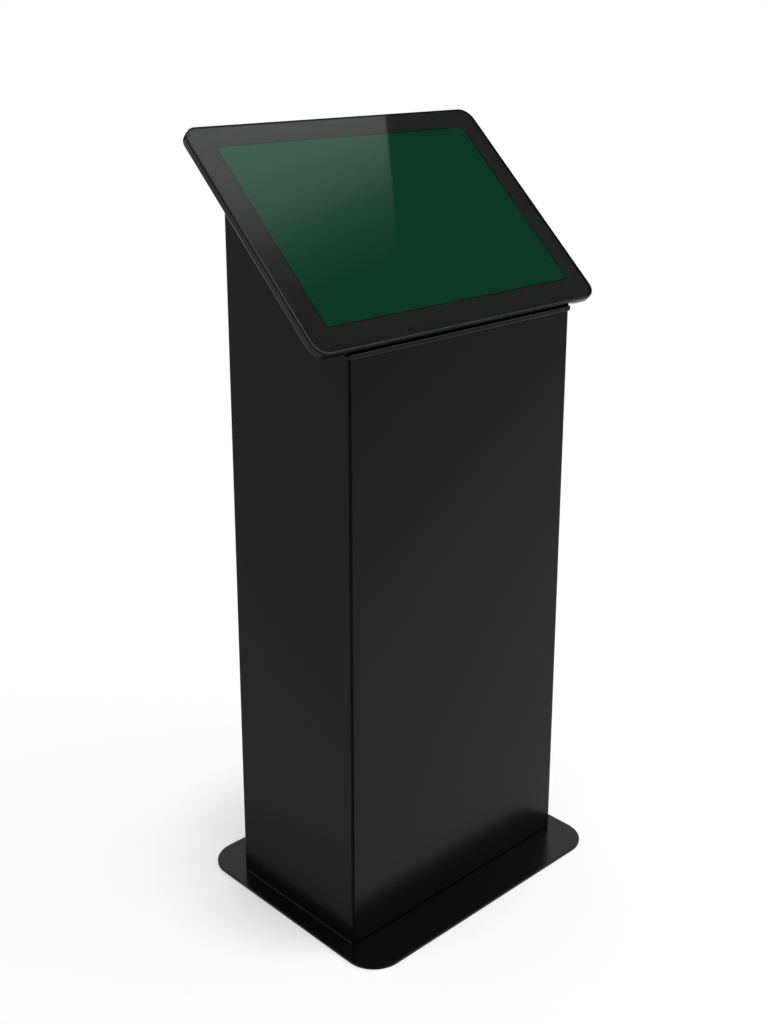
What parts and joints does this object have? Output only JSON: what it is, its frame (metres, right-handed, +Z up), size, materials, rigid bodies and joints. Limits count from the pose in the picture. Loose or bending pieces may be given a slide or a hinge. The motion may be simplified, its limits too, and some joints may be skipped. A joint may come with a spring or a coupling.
{
  "type": "touchscreen kiosk",
  "caption": "Free-standing kiosk with a tilted full-face glass touchscreen on a black folded-sheet column, a flat base plate and a louvred, lockable service door at the back",
  "frame": {"origin": "on the floor at the centre of the base, under the column", "axes": "+Z up, -Y towards the user, +X to the user's right"},
  "size_m": [0.551, 0.39, 1.1536],
  "materials": {
    "black_powder_coat": "satin black powder coat on folded steel sheet",
    "black_case_paint": "satin black paint on the thin display case",
    "screen_glass": "polished flat cover glass, black border printed on its back",
    "lcd_screen": "lit LCD panel showing a plain dark green field",
    "black_rubber": "matte black rubber",
    "black_plastic": "matte black moulded plastic",
    "bright_steel": "bright plated steel",
    "galvanised_sheet": "galvanised steel sheet",
    "circuit_board": "green circuit board with moulded components",
    "anodised_aluminium": "dark anodised aluminium with cooling fins"
  },
  "bodies": {
    "cabinet": {"base_plate": "black_powder_coat", "cover_glass": "screen_glass", "display_driver_board": "circuit_board", "electronics_tub": "galvanised_sheet", "equipment_shelf": "galvanised_sheet", "floor_pad_1": "black_rubber", "floor_pad_2": "black_rubber", "floor_pad_3": "black_rubber", "floor_pad_4": "black_rubber", "foot_nut_1": "bright_steel", "foot_nut_2": "bright_steel", "foot_nut_3": "bright_steel", "foot_nut_4": "bright_steel", "front_panel": "black_powder_coat", "glass_gasket": "black_rubber", "head_case": "black_case_paint", "inlet_pin_1": "bright_steel", "inlet_pin_2": "bright_steel", "inlet_pin_3": "bright_steel", "lcd_panel": "lcd_screen", "left_lcd_bracket": "galvanised_sheet", "left_side_panel": "black_powder_coat", "lock_keeper": "galvanised_sheet", "lower_door_stop": "black_powder_coat", "lower_hinge_frame_leaf": "black_powder_coat", "lower_hinge_pin": "bright_steel", "media_player": "anodised_aluminium", "power_inlet": "black_plastic", "power_supply": "black_plastic", "rear_lower_panel": "black_powder_coat", "rear_upper_panel": "black_powder_coat", "right_lcd_bracket": "galvanised_sheet", "right_side_panel": "black_powder_coat", "support_tray": "black_powder_coat", "switch_housing": "black_plastic", "touch_controller": "circuit_board", "upper_door_stop": "black_powder_coat", "upper_hinge_frame_leaf": "black_powder_coat", "upper_hinge_pin": "bright_steel"},
    "door": {"service_door": "black_powder_coat", "lower_hinge_door_leaf": "black_powder_coat", "upper_hinge_door_leaf": "black_powder_coat", "lock_body": "bright_steel", "lock_nut": "bright_steel"},
    "lock_core": {"lock_plug": "bright_steel", "lock_cam": "bright_steel", "cam_nut": "bright_steel"},
    "rocker": {"switch_rocker": "black_plastic"}
  },
  "joints": [
    {"name": "door_hinge", "type": "hinge", "parent": "cabinet", "child": "door", "pos_m": [0.183, 0.1318, 0.5], "axis": [0, 0, -1], "range_deg": [0, 110]},
    {"name": "lock_turn", "type": "hinge", "parent": "door", "child": "lock_core", "pos_m": [-0.157, 0.127, 0.5], "axis": [0, 1, 0], "range_deg": [0, 90]},
    {"name": "switch_rock", "type": "hinge", "parent": "cabinet", "child": "rocker", "pos_m": [0.04, 0.1258, 0.08], "axis": [1, 0, 0], "range_deg": [0, 16]}
  ]
}
